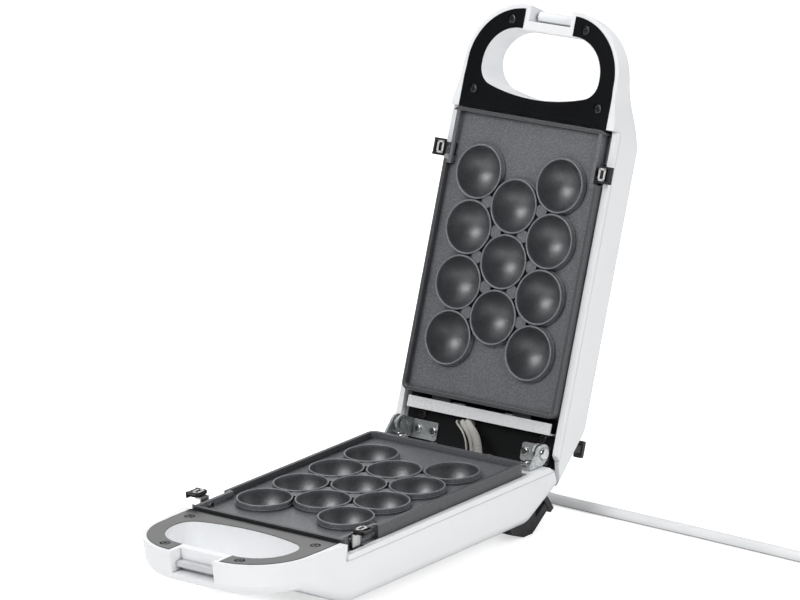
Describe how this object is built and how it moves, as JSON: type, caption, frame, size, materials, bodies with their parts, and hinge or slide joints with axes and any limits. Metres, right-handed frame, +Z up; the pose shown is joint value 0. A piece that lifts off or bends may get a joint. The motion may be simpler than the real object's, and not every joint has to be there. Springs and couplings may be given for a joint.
{
  "type": "cake pop maker",
  "caption": "Clamshell cake pop maker standing open: white shells with looped handles, non-stick plates of half-ball cups, rear hinge, latch, plate clips and a coiled cord.",
  "frame": {"origin": "on the table, at the middle of the open appliance's footprint, the cord left out", "axes": "+Z up, -Y towards the handle and the user, +X to the user's right"},
  "size_m": [0.455, 0.4286, 0.3134],
  "materials": {
    "shell_plastic": "cool white moulded shell",
    "trim_plastic": "near-black glossy handle trim and rear panel",
    "non_stick": "dark grey satin non-stick coating on cast aluminium",
    "zinc_plate": "zinc-plated sheet steel",
    "bright_steel": "polished rivet and pins",
    "spring_steel": "thin plain steel strip",
    "dark_screw": "black-oxide pan-head screws",
    "aluminium_tray": "pressed sheet tray",
    "rail_coating": "light grey speckled coating on the rails",
    "heater_steel": "sheathed tubular element",
    "rubber": "matte black feet",
    "lever_plastic": "matte black finger levers and cord hooks",
    "latch_plastic": "white latch clip",
    "keeper_plastic": "grey keeper",
    "cord_plastic": "white cord, relief and plug",
    "brass_blades": "plug blades",
    "braid": "off-white braided glass-fibre sleeve",
    "lamp_red": "power lamp lens",
    "lamp_green": "ready lamp lens",
    "block_plastic": "terminal block"
  },
  "bodies": {
    "base": {"base_shell": "shell_plastic", "base_plate": "non_stick", "base_heat_tray": "aluminium_tray", "base_tray_screws": "zinc_plate", "base_heater": "heater_steel", "base_thermostat": "zinc_plate", "base_plate_rail": "rail_coating", "base_rail_screws": "zinc_plate", "base_handle_trim": "trim_plastic", "base_trim_screws": "dark_screw", "base_clip_pins": "bright_steel", "base_bracket_screws": "zinc_plate", "latch_keeper": "keeper_plastic", "base_hinge_bracket_left": "zinc_plate", "base_hinge_bracket_right": "zinc_plate", "hinge_rivet_left": "bright_steel", "hinge_rivet_right": "bright_steel", "hinge_spacer_left": "zinc_plate", "hinge_spacer_right": "zinc_plate", "rear_foot_left": "rubber", "rear_foot_right": "rubber", "front_feet": "rubber", "terminal_block": "block_plastic", "cord_relief": "cord_plastic", "power_cord": "cord_plastic", "cord_tail": "cord_plastic", "cord_coil": "cord_plastic", "plug_body": "cord_plastic", "plug_blades": "brass_blades", "wire_sleeve": "braid"},
    "lid": {"lid_shell": "shell_plastic", "lid_plate": "non_stick", "lid_heat_tray": "aluminium_tray", "lid_tray_screws": "zinc_plate", "lid_heater": "heater_steel", "lid_thermostat": "zinc_plate", "lid_plate_rail": "rail_coating", "lid_rail_screws": "zinc_plate", "lid_handle_trim": "trim_plastic", "lid_trim_screws": "dark_screw", "lid_clip_pins": "bright_steel", "lid_bracket_screws": "zinc_plate", "panel_screws": "zinc_plate", "lid_rear_panel": "trim_plastic", "lid_hinge_bracket_left": "zinc_plate", "lid_hinge_bracket_right": "zinc_plate", "lid_hook_left": "lever_plastic", "lid_hook_right": "lever_plastic", "power_lamp": "lamp_red", "ready_lamp": "lamp_green", "latch_pin": "bright_steel"},
    "latch": {"latch_clip": "latch_plastic"},
    "base_clip_left_catch": {"base_clip_left": "spring_steel", "base_clip_lever_left": "lever_plastic"},
    "base_clip_right_catch": {"base_clip_right": "spring_steel", "base_clip_lever_right": "lever_plastic"},
    "lid_clip_left_catch": {"lid_clip_left": "spring_steel", "lid_clip_lever_left": "lever_plastic"},
    "lid_clip_right_catch": {"lid_clip_right": "spring_steel", "lid_clip_lever_right": "lever_plastic"}
  },
  "joints": [
    {"name": "lid_hinge", "type": "hinge", "parent": "base", "child": "lid", "pos_m": [0, 0.07552, 0.0513], "axis": [1, 0, 0], "range_deg": [0, 109.3], "deforming": ["wire_sleeve"]},
    {"name": "latch_pivot", "type": "hinge", "parent": "lid", "child": "latch", "pos_m": [0, 0.17706, 0.30436], "axis": [1, 0, 0], "range_deg": [0, 180]},
    {"name": "base_clip_left_pivot", "type": "hinge", "parent": "base", "child": "base_clip_left_catch", "pos_m": [-0.05904, -0.11818, 0.038], "axis": [0, -1, 0], "range_deg": [0, 11], "stiffness_Nm_per_rad": 0.2, "springref_deg": -5.73},
    {"name": "base_clip_right_pivot", "type": "hinge", "parent": "base", "child": "base_clip_right_catch", "pos_m": [0.05904, -0.11818, 0.038], "axis": [0, 1, 0], "range_deg": [0, 11], "stiffness_Nm_per_rad": 0.2, "springref_deg": -5.73},
    {"name": "lid_clip_left_pivot", "type": "hinge", "parent": "lid", "child": "lid_clip_left_catch", "pos_m": [-0.05904, 0.14639, 0.21677], "axis": [0, -0.3305, -0.9438], "range_deg": [0, 11], "stiffness_Nm_per_rad": 0.2, "springref_deg": -5.73},
    {"name": "lid_clip_right_pivot", "type": "hinge", "parent": "lid", "child": "lid_clip_right_catch", "pos_m": [0.05904, 0.14639, 0.21677], "axis": [0, 0.3305, 0.9438], "range_deg": [0, 11], "stiffness_Nm_per_rad": 0.2, "springref_deg": -5.73}
  ]
}
